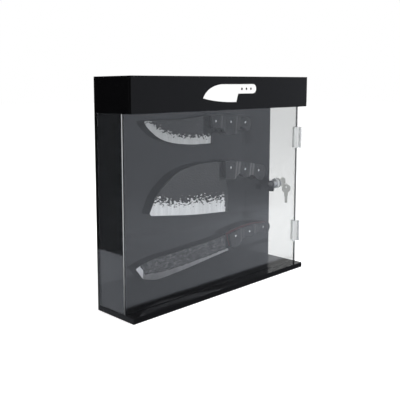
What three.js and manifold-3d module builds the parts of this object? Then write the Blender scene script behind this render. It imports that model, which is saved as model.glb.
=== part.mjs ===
// Countertop knife display case: black sheet base, back and header, clear front and left side,
// and a clear locking side door that swings out on two corner hinges.
//
// Frame: millimetres, origin at the centre of the base plate's underside, +X to the viewer's right,
// +Y from the front to the back, +Z up.

import * as THREE from 'three';
import { mergeVertices } from 'three/addons/utils/BufferGeometryUtils.js';
import Module from 'manifold-3d';

const wasm = await Module();
wasm.setup();

// Clearances

const cutGap = 0.3;             // between a piece and the hole or pocket that it sits in
const doorGap = 0.3;            // door to the ends and the front edge that it closes against
const doorHeadGap = 1;          // door to the header above it
const doorFootGap = 1;          // door to the surface that the case stands on
const hingeGap = 0.4;           // between the two leaves of a hinge
const magnetGap = 0.3;          // knife blade to its magnet bar
const camCatchGap = 0.7;        // cam to the catch that it turns behind
const camTipGap = 0.5;          // cam tip to the back panel

// Sheets

const baseThickness = 10;
const frontSheet = 5;
const leftSheet = 5;
const backSheet = 5;
const doorSheet = 5;
const headerSheet = 5;
const headerHeight = 60;
const frontSetback = 20;        // front panel behind the front of the base and header

// Knives: each blade is measured from the guard to the tip, each handle from the guard to the butt.
// A handle's front laps over the blade, and its rivets are measured from its ends and its chord.

const bladeThickness = 2.5;
const scaleThickness = 7.5;
const linerThickness = 0.8;
const rivetRadius = 2.5;
const rivetProud = 0.2;
const rivetsPerKnife = 3;
const buttDepth = 12;           // length of the rounded butt

const topKnife = {
  bladeLength: 174, bladeDepth: 54,
  handleLength: 112, handleLap: 11, handleDepth: 36, handleArch: 2.5, handleTilt: -4,
  firstRivet: 14.5, lastRivet: 19, rivetDrop: 10.5,
};
const middleKnife = {
  bladeLength: 200, bladeDepth: 104.5,
  handleLength: 127, handleLap: 5, handleDepth: 35, handleArch: 2, handleTilt: -9,
  firstRivet: 19, lastRivet: 22.6, rivetDrop: 12.4,
};
const bottomKnife = {
  bladeLength: 249, bladeDepth: 53,
  handleLength: 127, handleLap: 7, handleDepth: 32, handleArch: 5.5, handleTilt: 3.2,
  firstRivet: 20.3, lastRivet: 23.6, rivetDrop: 7,
};

// Blade outlines as shares of the blade's length from the guard and of its depth below the spine

topKnife.spine = [[0, 0], [0.12, 0], [0.3, 0.06], [0.63, 0.085], [0.89, 0.07], [0.99, 0.08], [1, 0.13]];
topKnife.edge = [[1, 0.13], [0.948, 0.33], [0.8, 0.667], [0.6, 0.87], [0.3, 0.985], [0.02, 1]];
topKnife.heel = [[0.02, 0.74], [-0.03, 0.5]];

middleKnife.spine = [[0, 0.02], [0.24, 0], [0.42, 0.02], [0.615, 0.085], [0.742, 0.205], [0.9, 0.426],
  [0.983, 0.7], [1, 0.75]];
middleKnife.edge = [[1, 0.75], [0.985, 0.785], [0.925, 0.812], [0.43, 0.93], [-0.065, 1]];
middleKnife.heel = [[-0.07, 0.745], [-0.02, 0.3]];

bottomKnife.spine = [[0, 0], [0.145, 0.1], [0.4, 0.17], [0.67, 0.225], [0.783, 0.235], [0.9, 0.31],
  [0.976, 0.395], [1, 0.445]];
bottomKnife.edge = [[0.932, 0.847], [0.87, 0.93], [0.783, 1], [0.578, 0.947], [0.293, 0.815],
  [0.004, 0.665]];
bottomKnife.heel = [[-0.02, 0.5]];

// Undersides of the handles, with their finger grooves, from the butt to the front: shares of the
// handle's straight length from its front and of its depth below its chord

topKnife.under = [[1, 0.78], [0.876, 0.6], [0.804, 0.57], [0.73, 0.92], [0.63, 1], [0.52, 0.985],
  [0.413, 0.94], [0.326, 0.69], [0.193, 0.665], [0.063, 0.69]];
middleKnife.under = [[1, 0.9], [0.92, 0.9], [0.83, 0.76], [0.74, 0.65], [0.61, 0.85], [0.51, 0.77],
  [0.42, 0.61], [0.365, 0.77], [0.3, 1], [0.17, 0.985], [0.06, 0.97]];
bottomKnife.under = [[1, 0.7], [0.82, 0.56], [0.715, 0.47], [0.63, 0.6], [0.55, 0.62], [0.41, 0.51],
  [0.28, 0.78], [0.19, 0.97], [0.065, 0.83]];

// Where the knives hang: the case is sized around them

const bottomKnifeRise = 21.6;   // base plate to the bottom knife's lowest edge
const middleKnifeRise = 46.4;   // bottom knife's spine to the middle knife's heel
const topKnifeRise = 37.5;      // middle knife's spine to the top knife's edge
const headRoom = 13;            // top knife's spine to the header
const tipRoom = 66;             // left panel to the bottom knife's tip
const buttRoom = 23;            // bottom knife's butt to the door
const topButtRoom = 89;         // top knife's butt to the door
const lockRoom = 18;            // middle knife's butt to the cam screw of the lock
const knifeRoom = 45;           // front panel to the handles

// Magnet bars behind the blades

const magnetThickness = 9.7;
const magnetHeight = 12;
const magnetFromGuard = 0.2;    // bar's near end, as a share of the blade's length from the guard
const magnetFromTip = 0.28;     // bar's far end, as a share of the blade's length from the tip
const magnetDrop = 0.5;         // bar's middle, as a share of the blade's depth below the spine

// Hinges

const hingeHeight = 44;
const hingeInset = 65;          // middle of each hinge to the base plate or the header
const leafWidth = 18;
const leafThickness = 2.5;
const knuckleRadius = 3.5;
const middleKnuckle = 20;
const pinRadius = 1.5;

// Cam lock, measured along its own axis from the outer face of the door

const lockBackset = 22;         // lock axis to the rear edge of the door
const lockRise = 2.5;           // lock axis above the middle of the door
const bezelOverlap = 3;         // bezel and washer beyond the barrel
const bezelThickness = 3.5;
const bezelChamfer = 1;
const barrelLength = 20;
const barrelWall = 1.9;
const barrelFlatWall = 1;       // barrel's wall behind its two flats
const plugWall = 0.65;          // plug outside the corners of its wafer pockets
const plugHeadOverlap = 1.2;    // plug's head beyond its body
const plugHeadThickness = 1.5;
const washerThickness = 0.8;
const nutWall = 2;
const nutThickness = 4;
const camThickness = 2;
const camSquare = 7;
const camWall = 3.5;            // cam outside the square that drives it
const camScrewOverlap = 0.25;   // screw head beyond the corners of the square
const camScrewHeadThickness = 2.2;
const camScrewRadius = 2;
const camScrewLength = 8;
const waferCount = 4;
const waferThickness = 0.8;
const waferSide = 1.2;          // wafer beside the flat of the key
const waferFrame = 0.7;         // wafer above and below the key
const firstWafer = 5.3;         // plug face to the first wafer
const waferEndRoom = 2;         // last wafer to the end of the keyway
const catchThickness = 5;
const catchWidth = 6.5;
const catchHeight = 24;

// Keys and their ring

const keyThickness = 2;
const keyHeadRadius = 10;
const keyHoleRadius = 2.2;
const keyHoleInset = 6.3;       // middle of the hole to the rim of the head
const keyShoulderStep = 1.25;   // shoulder beyond each edge of the key's blade
const keyShoulderLength = 8;
const keyBladeWidth = 6;
const keyBladeLength = 15;
const keyTip = 1.6;
const keyCuts = [2, 1.2, 2.4, 1.6];
const ringRoom = 2.4;           // between the heads of two keys stretched apart on the ring
const ringWire = 0.6;
const ringTilt = 45;            // ring's lean from hanging straight down
const spareKeyYaw = 30;

// Plain white knife figure on the header

const figureLength = 145;
const figureHeight = 32;
const figureThickness = 0.5;
const figureHandle = 52;
const figureHandleHeight = 17;
const figureRivet = 2.4;
const figureRivets = 3;
const figureNeck = 5;

// Levels and faces worked out from the sizes above

const depth = frontSetback + frontSheet + knifeRoom + scaleThickness + bladeThickness + magnetGap
  + magnetThickness + backSheet;
const width = leftSheet + tipRoom + bottomKnife.bladeLength + bottomKnife.handleLength + buttRoom;
const left = -width / 2;
const right = width / 2;
const front = -depth / 2;
const back = depth / 2;
const panelFront = front + frontSetback;
const panelInside = panelFront + frontSheet;
const backInside = back - backSheet;
const doorInside = right + doorGap;
const doorOutside = doorInside + doorSheet;
const baseTop = baseThickness;

bottomKnife.top = baseTop + bottomKnifeRise + bottomKnife.bladeDepth;
middleKnife.top = bottomKnife.top + middleKnifeRise + middleKnife.bladeDepth;
topKnife.top = middleKnife.top + topKnifeRise + topKnife.bladeDepth;
const bayTop = topKnife.top + headRoom;
const caseTop = bayTop + headerHeight;

const doorFoot = doorFootGap;
const doorHead = bayTop - doorHeadGap;
const doorFront = panelFront + doorGap;
const doorMiddle = (doorFoot + doorHead) / 2;

const lockY = back - lockBackset;
const lockZ = doorMiddle + lockRise;
const barrelEnd = doorOutside - barrelLength;
const plugEnd = barrelEnd - cutGap;
const camFace = plugEnd - cutGap;
const camBack = camFace - camThickness;
const camScrewEnd = camBack - cutGap - camScrewHeadThickness;
const camReach = backInside - lockY - camTipGap;

bottomKnife.guard = right - buttRoom - bottomKnife.handleLength;
middleKnife.guard = camScrewEnd - lockRoom - middleKnife.handleLength;
topKnife.guard = right - topButtRoom - topKnife.handleLength;

const bladeBack = backInside - magnetThickness - magnetGap;
const bladeFront = bladeBack - bladeThickness;

const hingeAxis = { x: doorOutside + knuckleRadius, y: panelFront - knuckleRadius };

const waferHeight = keyBladeWidth + 2 * (cutGap + waferFrame);
const waferWidth = keyThickness + 2 * (cutGap + waferSide);
const plugRadius = Math.hypot(waferHeight / 2 + cutGap, waferWidth / 2 + cutGap) + plugWall;
const plugHeadRadius = plugRadius + plugHeadOverlap;
const barrelRadius = plugRadius + cutGap + barrelWall;
const barrelFlat = plugRadius + cutGap + barrelFlatWall;
const bezelRadius = barrelRadius + bezelOverlap;
const plugFace = doorOutside + cutGap + bezelThickness;
const keyShoulder = plugFace + cutGap;
const waferPitch = (keyBladeLength - firstWafer - waferThickness - waferEndRoom) / (waferCount - 1);
const wafers = Array.from({ length: waferCount }, (_, i) => plugFace - firstWafer - i * waferPitch);
const ringRadius = keyHoleInset + ringRoom / 2;

// Finishes

const finish = (color, roughness, metalness = 0) =>
  new THREE.MeshStandardMaterial({ color, roughness, metalness });

const clearSheet = () => {
  const material = finish(0xe4ebec, 0.05);
  material.transparent = true;
  material.opacity = 0.25;
  return material;
};
const blackSheet = () => finish(0x0d0e10, 0.12);
const chrome = () => finish(0xc9cbcd, 0.15, 1);
const bladeSteel = () => finish(0x4a4b4e, 0.4, 1);
const blackHandle = () => finish(0x17181a, 0.55);

// Solids and booleans

function solid(geometry) {
  const shell = geometry.clone();
  shell.deleteAttribute('normal');
  shell.deleteAttribute('uv');
  const merged = mergeVertices(shell, 1e-4);
  const vertProperties = Float32Array.from(merged.attributes.position.array);
  const triVerts = Uint32Array.from(merged.index.array);
  return new wasm.Manifold(new wasm.Mesh({ numProp: 3, vertProperties, triVerts }));
}

function geometryOf(manifold) {
  const { vertProperties, triVerts } = manifold.getMesh();
  const geometry = new THREE.BufferGeometry();
  geometry.setAttribute('position', new THREE.BufferAttribute(vertProperties, 3));
  geometry.setIndex(new THREE.BufferAttribute(triVerts, 1));
  return geometry;
}

const join = (...geometries) => geometryOf(geometries.map(solid).reduce((all, one) => all.add(one)));
const cut = (body, ...tools) =>
  geometryOf(tools.map(solid).reduce((rest, tool) => rest.subtract(tool), solid(body)));

// Basic shapes, placed in the case's frame

function block([x0, x1], [y0, y1], [z0, z1]) {
  const geometry = new THREE.BoxGeometry(x1 - x0, y1 - y0, z1 - z0);
  return geometry.translate((x0 + x1) / 2, (y0 + y1) / 2, (z0 + z1) / 2);
}

// A plate in the XZ plane: the outline's x runs along X and its y up Z
function uprightPlate(outline, yFront, yBack) {
  const options = { depth: yBack - yFront, bevelEnabled: false, curveSegments: 12 };
  const geometry = new THREE.ExtrudeGeometry(outline, options);
  return geometry.rotateX(Math.PI / 2).translate(0, yBack, 0);
}

// A plate across the X axis: the outline's x runs along -Z and its y along Y, about the lock's axis
function crossPlate(outline, x0, x1) {
  const options = { depth: x1 - x0, bevelEnabled: false, curveSegments: 16 };
  const geometry = new THREE.ExtrudeGeometry(outline, options);
  return geometry.rotateY(Math.PI / 2).translate(x0, lockY, lockZ);
}

// A round piece on the lock's axis, from [radius, x] pairs that start and end on the axis
function turned(profile) {
  const points = profile.map(([radius, x]) => new THREE.Vector2(radius, x));
  return new THREE.LatheGeometry(points, 32).rotateZ(-Math.PI / 2).translate(0, lockY, lockZ);
}

const lockRod = (radius, x0, x1) => turned([[0, x0], [radius, x0], [radius, x1], [0, x1]]);

function uprightRod(radius, x, y, z0, z1, sides = 24) {
  const geometry = new THREE.CylinderGeometry(radius, radius, z1 - z0, sides);
  return geometry.rotateX(Math.PI / 2).translate(x, y, (z0 + z1) / 2);
}

function circleHole(x, y, radius) {
  const path = new THREE.Path();
  path.absarc(x, y, radius, 0, 2 * Math.PI, true);
  return path;
}

const rectangle = (halfX, halfY) => new THREE.Shape([
  new THREE.Vector2(-halfX, -halfY), new THREE.Vector2(halfX, -halfY),
  new THREE.Vector2(halfX, halfY), new THREE.Vector2(-halfX, halfY),
]);

const group = new THREE.Group();

function add(name, geometry, material) {
  const mesh = new THREE.Mesh(geometry, material);
  mesh.name = name;
  group.add(mesh);
  return mesh;
}

// Case body

function addBody() {
  add('base_plate', block([left, right], [front, back], [0, baseTop]), blackSheet());
  add('back_panel', block([left, right], [backInside, back], [baseTop, bayTop]), blackSheet());
  add('front_panel', block([left, right], [panelFront, panelInside], [baseTop, bayTop]), clearSheet());
  add('left_panel', block([left, left + leftSheet], [panelInside, backInside], [baseTop, bayTop]),
    clearSheet());
}

function addHeader() {
  const innerLeft = left + headerSheet;
  const innerRight = doorOutside - headerSheet;
  const innerFront = front + headerSheet;
  const innerBack = back - headerSheet;
  const floorTop = bayTop + headerSheet;
  const lidUnderside = caseTop - headerSheet;
  const sheets = {
    header_front: [[left, doorOutside], [front, innerFront], [bayTop, caseTop]],
    header_back: [[left, doorOutside], [innerBack, back], [bayTop, caseTop]],
    header_left_end: [[left, innerLeft], [innerFront, innerBack], [bayTop, caseTop]],
    header_right_end: [[innerRight, doorOutside], [innerFront, innerBack], [bayTop, caseTop]],
    header_floor: [[innerLeft, innerRight], [innerFront, innerBack], [bayTop, floorTop]],
    header_lid: [[innerLeft, innerRight], [innerFront, innerBack], [lidUnderside, caseTop]],
  };
  for (const [name, ranges] of Object.entries(sheets)) {
    add(name, block(...ranges), blackSheet());
  }
}

// A blade pointing left, a neck and a rounded handle with rivet holes
function addHeaderFigure() {
  const half = figureLength / 2;
  const guard = half - figureHandle;
  const spine = figureHeight / 2;
  const handleBottom = spine - figureHandleHeight;
  const outline = new THREE.Shape();
  outline.moveTo(-half, -spine / 2);
  outline.quadraticCurveTo(-half / 2, -spine, guard - figureNeck, -spine);
  outline.lineTo(guard, handleBottom);
  outline.lineTo(half - figureHandleHeight / 2, handleBottom);
  outline.absarc(half - figureHandleHeight / 2, spine - figureHandleHeight / 2, figureHandleHeight / 2,
    -Math.PI / 2, Math.PI / 2, false);
  outline.lineTo(-half / 3, spine);
  outline.quadraticCurveTo(-half * 0.85, spine * 0.8, -half, -spine / 2);
  const rivetStep = figureHandle / (figureRivets + 1);
  for (let i = 1; i <= figureRivets; i += 1) {
    const x = guard + i * rivetStep - figureRivet;
    outline.holes.push(circleHole(x, spine - figureHandleHeight / 2, figureRivet));
  }
  const plate = uprightPlate(outline, front - figureThickness, front);
  plate.translate(0, 0, (bayTop + caseTop) / 2);
  add('header_figure', plate, finish(0xf2f2f0, 0.35));
}

// Door and hinges

function barrelOutline(clearance) {
  const radius = barrelRadius + clearance;
  const flat = barrelFlat + clearance;
  const angle = Math.acos(flat / radius);
  const outline = new THREE.Shape();
  outline.absarc(0, 0, radius, angle, Math.PI - angle, false);
  outline.absarc(0, 0, radius, Math.PI + angle, 2 * Math.PI - angle, false);
  outline.closePath();
  return outline;
}

function addDoor() {
  const sheet = block([doorInside, doorOutside], [doorFront, back], [doorFoot, doorHead]);
  const lockHole = crossPlate(barrelOutline(cutGap), doorInside - 1, doorOutside + 1);
  add('side_door', cut(sheet, lockHole), clearSheet());
}

function addHinge(name, middle) {
  const { x, y } = hingeAxis;
  const low = middle - hingeHeight / 2;
  const high = middle + hingeHeight / 2;
  const midLow = middle - middleKnuckle / 2;
  const midHigh = middle + middleKnuckle / 2;
  const reach = knuckleRadius + hingeGap;
  const bore = uprightRod(pinRadius + cutGap, x, y, low - 1, high + 1);

  const caseLeaf = block([x - leafWidth, x], [panelFront - leafThickness, panelFront], [low, high]);
  const caseRelief = block([x - reach, x + reach], [y - reach, panelFront + 1],
    [midLow - hingeGap, midHigh + hingeGap]);
  const lowKnuckle = uprightRod(knuckleRadius, x, y, low, midLow - hingeGap);
  const highKnuckle = uprightRod(knuckleRadius, x, y, midHigh + hingeGap, high);
  const caseSide = join(cut(caseLeaf, caseRelief), lowKnuckle, highKnuckle);
  add(`${name}_hinge_case_leaf`, cut(caseSide, bore), clearSheet());

  const doorLeaf = block([doorOutside, doorOutside + leafThickness], [y, y + leafWidth], [low, high]);
  const lowRelief = block([x - reach, x + reach], [y - reach, y + reach], [low - 1, midLow]);
  const highRelief = block([x - reach, x + reach], [y - reach, y + reach], [midHigh, high + 1]);
  const midKnuckle = uprightRod(knuckleRadius, x, y, midLow, midHigh);
  const doorSide = join(cut(doorLeaf, lowRelief, highRelief), midKnuckle);
  add(`${name}_hinge_door_leaf`, cut(doorSide, bore), clearSheet());

  add(`${name}_hinge_pin`, uprightRod(pinRadius, x, y, low, high), chrome());
}

// Cam lock

function addLockHousing() {
  const face = doorOutside + cutGap;
  const bezelFace = face + bezelThickness;
  const bezel = turned([[0, face], [bezelRadius, face], [bezelRadius, bezelFace - bezelChamfer],
    [bezelRadius - bezelChamfer, bezelFace], [0, bezelFace]]);
  const barrel = crossPlate(barrelOutline(0), barrelEnd, face + bezelThickness / 2);
  const headSeat = bezelFace - plugHeadThickness - cutGap;
  const bore = lockRod(plugRadius + cutGap, barrelEnd - 1, bezelFace + 1);
  const counterbore = lockRod(plugHeadRadius + cutGap, headSeat, bezelFace + 1);
  add('lock_housing', cut(join(bezel, barrel), bore, counterbore), chrome());
}

function addLockNut() {
  const washerOutline = new THREE.Shape().absarc(0, 0, bezelRadius, 0, 2 * Math.PI, false);
  washerOutline.holes.push(circleHole(0, 0, barrelRadius + cutGap));
  const washerFace = doorInside - cutGap;
  const washerBack = washerFace - washerThickness;
  add('lock_washer', crossPlate(washerOutline, washerBack, washerFace), chrome());

  const nutRadius = (barrelRadius + nutWall) / Math.cos(Math.PI / 6);
  const corners = Array.from({ length: 6 }, (_, i) => {
    const angle = (i * Math.PI) / 3;
    return new THREE.Vector2(nutRadius * Math.cos(angle), nutRadius * Math.sin(angle));
  });
  const nutOutline = new THREE.Shape(corners);
  nutOutline.holes.push(circleHole(0, 0, barrelRadius + cutGap));
  const nutFace = washerBack - cutGap;
  add('lock_nut', crossPlate(nutOutline, nutFace - nutThickness, nutFace), chrome());
}

function addLockPlug() {
  const body = turned([[0, plugEnd], [plugRadius, plugEnd], [plugRadius, plugFace - plugHeadThickness],
    [plugHeadRadius, plugFace - plugHeadThickness], [plugHeadRadius, plugFace], [0, plugFace]]);
  const square = crossPlate(rectangle(camSquare / 2, camSquare / 2), camBack, plugEnd + 1);
  const keyway = crossPlate(rectangle(keyBladeWidth / 2 + cutGap, keyThickness / 2 + cutGap),
    plugFace - keyBladeLength, plugFace + 1);
  const screwHole = lockRod(camScrewRadius + cutGap, camBack - 1, camBack + camScrewLength);
  const pockets = wafers.map((x) => crossPlate(rectangle(waferHeight / 2 + cutGap, waferWidth / 2 + cutGap),
    x - waferThickness - cutGap, x + cutGap));
  add('lock_plug', cut(join(body, square), keyway, screwHole, ...pockets), chrome());
}

function addWafers() {
  const outline = rectangle(waferHeight / 2, waferWidth / 2);
  const windowX = waferHeight / 2 - waferFrame;
  const windowY = keyThickness / 2 + cutGap;
  const window = [[-windowX, -windowY], [-windowX, windowY], [windowX, windowY], [windowX, -windowY]];
  outline.holes.push(new THREE.Path(window.map(([x, y]) => new THREE.Vector2(x, y))));
  wafers.forEach((x, i) => {
    add(`lock_wafer_${i + 1}`, crossPlate(outline, x - waferThickness, x), finish(0xb08d4a, 0.35, 1));
  });
}

function addCam() {
  const half = camSquare / 2 + camWall;
  const tipAngle = Math.asin(half / camReach);
  const outline = new THREE.Shape();
  outline.absarc(0, 0, half, Math.PI / 2, 1.5 * Math.PI, false);
  outline.absarc(0, 0, camReach, -tipAngle, tipAngle, false);
  outline.closePath();
  const hole = camSquare / 2 + cutGap;
  const corners = [[-hole, -hole], [-hole, hole], [hole, hole], [hole, -hole]];
  outline.holes.push(new THREE.Path(corners.map(([x, y]) => new THREE.Vector2(x, y))));
  add('lock_cam', crossPlate(outline, camBack, camFace), finish(0x8e8f92, 0.4, 1));

  const headFace = camBack - cutGap;
  const headRadius = camSquare / Math.sqrt(2) + camScrewOverlap;
  const shankEnd = camBack + camScrewLength - cutGap;
  const screw = turned([[0, camScrewEnd], [headRadius, camScrewEnd], [headRadius, headFace],
    [camScrewRadius, headFace], [camScrewRadius, shankEnd], [0, shankEnd]]);
  add('cam_screw', screw, chrome());
}

function addCatch() {
  const x0 = camFace + camCatchGap;
  add('cam_catch', block([x0, x0 + catchWidth], [backInside - catchThickness, backInside],
    [lockZ - catchHeight / 2, lockZ + catchHeight / 2]), blackSheet());
}

// Keys: the outline runs from the tip at negative x to the round head at positive x

function keyGeometry() {
  const bladeHalf = keyBladeWidth / 2;
  const shoulderHalf = bladeHalf + keyShoulderStep;
  const headX = keyShoulderLength + Math.sqrt(keyHeadRadius ** 2 - shoulderHalf ** 2);
  const holeX = headX + keyHeadRadius - keyHoleInset;
  const cutPitch = (keyBladeLength - keyTip) / (keyCuts.length + 0.5);
  const joinAngle = Math.asin(shoulderHalf / keyHeadRadius);
  const outline = new THREE.Shape();
  outline.moveTo(-keyBladeLength, bladeHalf - keyTip);
  outline.lineTo(-keyBladeLength, -bladeHalf + keyTip);
  outline.lineTo(-keyBladeLength + keyTip, -bladeHalf);
  outline.lineTo(0, -bladeHalf);
  outline.lineTo(0, -shoulderHalf);
  outline.absarc(headX, 0, keyHeadRadius, Math.PI + joinAngle, 3 * Math.PI - joinAngle, false);
  outline.lineTo(0, shoulderHalf);
  outline.lineTo(0, bladeHalf);
  keyCuts.forEach((cutDepth, i) => {
    const x = -(i + 1) * cutPitch;
    outline.lineTo(x + cutPitch / 3, bladeHalf);
    outline.lineTo(x, bladeHalf - cutDepth);
    outline.lineTo(x - cutPitch / 3, bladeHalf);
  });
  outline.lineTo(-keyBladeLength + keyTip, bladeHalf);
  outline.closePath();
  outline.holes.push(circleHole(holeX, 0, keyHoleRadius));
  return { geometry: uprightPlate(outline, -keyThickness / 2, keyThickness / 2), holeX };
}

function addKeys() {
  const { geometry, holeX } = keyGeometry();
  const keyInLock = add('lock_key', geometry, chrome());
  keyInLock.position.set(keyShoulder, lockY, lockZ);

  // The ring's wire rests low in the key's hole, and the spare key hangs from the ring's far side
  const wireDrop = keyHoleRadius - ringWire - cutGap;
  const tilt = THREE.MathUtils.degToRad(ringTilt);
  const down = new THREE.Vector3(Math.sin(tilt), 0, -Math.cos(tilt));
  const topWire = new THREE.Vector3(keyShoulder + holeX, lockY, lockZ - wireDrop);
  const ring = add('key_ring', new THREE.TorusGeometry(ringRadius, ringWire, 8, 32), chrome());
  ring.position.copy(topWire).addScaledVector(down, ringRadius);
  ring.rotation.y = Math.PI / 2 - tilt;

  const lowWire = topWire.clone().addScaledVector(down, 2 * ringRadius);
  const hanging = geometry.clone().translate(-holeX, 0, 0).rotateY(-Math.PI / 2);
  hanging.rotateZ(-THREE.MathUtils.degToRad(spareKeyYaw));
  add('spare_key', hanging, chrome()).position.set(lowWire.x, lowWire.y, lowWire.z - wireDrop);
}

// Knives

const curveThrough = (points) => new THREE.SplineCurve(points).getPoints(points.length * 2);

function bladeOutline(knife) {
  const place = ([along, drop]) => new THREE.Vector2(
    knife.guard - along * knife.bladeLength, knife.top - drop * knife.bladeDepth);
  return new THREE.Shape([...curveThrough(knife.spine.map(place)), ...curveThrough(knife.edge.map(place)),
    ...knife.heel.map(place)]);
}

// A point of a handle, along its chord from its front and above its chord, in the XZ plane
function handlePoint(knife, along, rise) {
  const tilt = THREE.MathUtils.degToRad(knife.handleTilt);
  const x = along - knife.handleLap;
  return new THREE.Vector2(
    knife.guard + x * Math.cos(tilt) - rise * Math.sin(tilt),
    knife.top + x * Math.sin(tilt) + rise * Math.cos(tilt));
}

// The handle's back is arched, its butt is round and its underside has finger grooves
function handleOutline(knife) {
  const straight = knife.handleLap + knife.handleLength - buttDepth;
  const buttHalf = (knife.under[0][1] * knife.handleDepth) / 2;
  const backSteps = 12;
  const roundSteps = 8;
  const points = [];
  for (let i = 0; i <= backSteps; i += 1) {
    const share = i / backSteps;
    points.push(handlePoint(knife, share * straight, knife.handleArch * Math.sin(Math.PI * share)));
  }
  for (let i = 1; i < roundSteps; i += 1) {
    const angle = Math.PI / 2 - (i * Math.PI) / roundSteps;
    points.push(handlePoint(knife, straight + buttDepth * Math.cos(angle), buttHalf * (Math.sin(angle) - 1)));
  }
  const under = knife.under.map(([along, drop]) =>
    handlePoint(knife, along * straight, -drop * knife.handleDepth));
  return new THREE.Shape([...points, ...curveThrough(under)]);
}

function rivetPlaces(knife) {
  const total = knife.handleLap + knife.handleLength;
  const pitch = (total - knife.firstRivet - knife.lastRivet) / (rivetsPerKnife - 1);
  return Array.from({ length: rivetsPerKnife }, (_, i) =>
    handlePoint(knife, knife.firstRivet + i * pitch, -knife.rivetDrop));
}

function crossRod(radius, place, yFront, yBack) {
  const geometry = new THREE.CylinderGeometry(radius, radius, yBack - yFront, 16);
  return geometry.translate(place.x, (yFront + yBack) / 2, place.y);
}

function addKnife(name, knife, linerDepth = 0) {
  const scaleFront = bladeFront - scaleThickness;
  const scaleBack = bladeBack + scaleThickness;
  const holes = rivetPlaces(knife).map((place) =>
    crossRod(rivetRadius + cutGap, place, scaleFront - 1, scaleBack + 1));
  const handle = handleOutline(knife);
  const blade = uprightPlate(bladeOutline(knife), bladeFront, bladeBack);
  const tang = uprightPlate(handle, bladeFront, bladeBack);
  add(`${name}_knife_blade`, cut(join(blade, tang), ...holes), bladeSteel());
  const layers = [
    ['front_scale', scaleFront, bladeFront - linerDepth, blackHandle],
    ['back_scale', bladeBack + linerDepth, scaleBack, blackHandle],
  ];
  if (linerDepth > 0) {
    const redFibre = () => finish(0x7a2226, 0.6);
    layers.push(['front_liner', bladeFront - linerDepth, bladeFront, redFibre]);
    layers.push(['back_liner', bladeBack, bladeBack + linerDepth, redFibre]);
  }
  for (const [layer, y0, y1, material] of layers) {
    add(`${name}_knife_${layer}`, cut(uprightPlate(handle, y0, y1), ...holes), material());
  }
  rivetPlaces(knife).forEach((place, i) => {
    const rivet = crossRod(rivetRadius, place, scaleFront - rivetProud, scaleBack + rivetProud);
    add(`${name}_knife_rivet_${i + 1}`, rivet, chrome());
  });
}

function addMagnet(name, knife) {
  const x0 = knife.guard - (1 - magnetFromTip) * knife.bladeLength;
  const x1 = knife.guard - magnetFromGuard * knife.bladeLength;
  const z = knife.top - magnetDrop * knife.bladeDepth;
  add(`${name}_magnet_bar`, block([x0, x1], [backInside - magnetThickness, backInside],
    [z - magnetHeight / 2, z + magnetHeight / 2]), finish(0x141415, 0.6));
}

addBody();
addHeader();
addHeaderFigure();
addDoor();
addHinge('upper', bayTop - hingeInset);
addHinge('lower', baseTop + hingeInset);
addLockHousing();
addLockNut();
addLockPlug();
addWafers();
addCam();
addCatch();
addKeys();
addKnife('top', topKnife);
addKnife('middle', middleKnife);
addKnife('bottom', bottomKnife, linerThickness);
addMagnet('top', topKnife);
addMagnet('middle', middleKnife);
addMagnet('bottom', bottomKnife);

export default group;
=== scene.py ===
# Countertop knife display case: black and clear sheet, three knives, a cam lock with its keys.
# Metres, origin at the centre of the base plate's underside, +X right, +Y back, +Z up.

import math

import bmesh
import bpy
from mathutils import Matrix, Vector, kdtree


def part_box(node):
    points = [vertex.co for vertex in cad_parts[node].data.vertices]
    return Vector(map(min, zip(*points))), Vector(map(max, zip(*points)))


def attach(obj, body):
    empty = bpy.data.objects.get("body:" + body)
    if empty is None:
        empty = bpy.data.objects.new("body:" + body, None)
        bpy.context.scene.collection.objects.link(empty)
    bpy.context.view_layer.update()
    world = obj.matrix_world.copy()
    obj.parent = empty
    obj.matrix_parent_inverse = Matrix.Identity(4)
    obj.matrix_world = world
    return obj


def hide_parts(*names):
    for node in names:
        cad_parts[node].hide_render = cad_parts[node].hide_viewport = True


bl_info = {
    "name": "Knife display case",
    "version": (1, 0, 0),
    "blender": (4, 5, 0),
    "location": "View3D > Sidebar > Knife case",
    "description": "Builds the looks of a countertop knife display case over its packed frame",
    "category": "Object",
}

MM = 0.001
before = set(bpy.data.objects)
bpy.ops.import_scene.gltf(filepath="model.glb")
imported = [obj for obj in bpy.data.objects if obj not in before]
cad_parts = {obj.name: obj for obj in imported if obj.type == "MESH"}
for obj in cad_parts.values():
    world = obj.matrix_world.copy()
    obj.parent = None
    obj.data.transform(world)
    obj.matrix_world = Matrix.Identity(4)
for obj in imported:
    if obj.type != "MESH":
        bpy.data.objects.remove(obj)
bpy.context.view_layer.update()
IMAGE_SIZE = 400

BLACK_SHEETS = ("base_plate", "back_panel", "header_front", "header_back", "header_left_end",
                "header_right_end", "header_floor", "header_lid", "cam_catch")
KNIVES = ("top", "middle", "bottom")
RIVETS = (1, 2, 3)
WAFERS = (1, 2, 3, 4)

# Points nearer than MERGE and faces that turn by less than FLAT are one, edges that turn by more than
# SHARP are broken, and a face looks along an axis where more than SAME_WAY of its normal does
MERGE = 0.01 * MM
FLAT = math.radians(1)
SHARP = math.radians(28)
SAME_WAY = 0.99

# The ends of the clear sheets, by the way they face: 1 is a sawn end, 2 is cemented to black sheet
FRONT_ENDS = (((-1, 0, 0), 1), ((1, 0, 0), 1), ((0, 0, 1), 2), ((0, 0, -1), 2))
LEFT_ENDS = (((0, 1, 0), 2), ((0, 0, 1), 2), ((0, 0, -1), 2))
DOOR_ENDS = (((0, 1, 0), 1), ((0, -1, 0), 1), ((0, 0, 1), 1), ((0, 0, -1), 1))


# Sizes and colours


def length(name, description, millimetres, low=0.0, high=2000.0):
    return bpy.props.FloatProperty(name=name, description=description, default=millimetres * MM,
                                   min=low * MM, max=high * MM, precision=5, unit="LENGTH")


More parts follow.
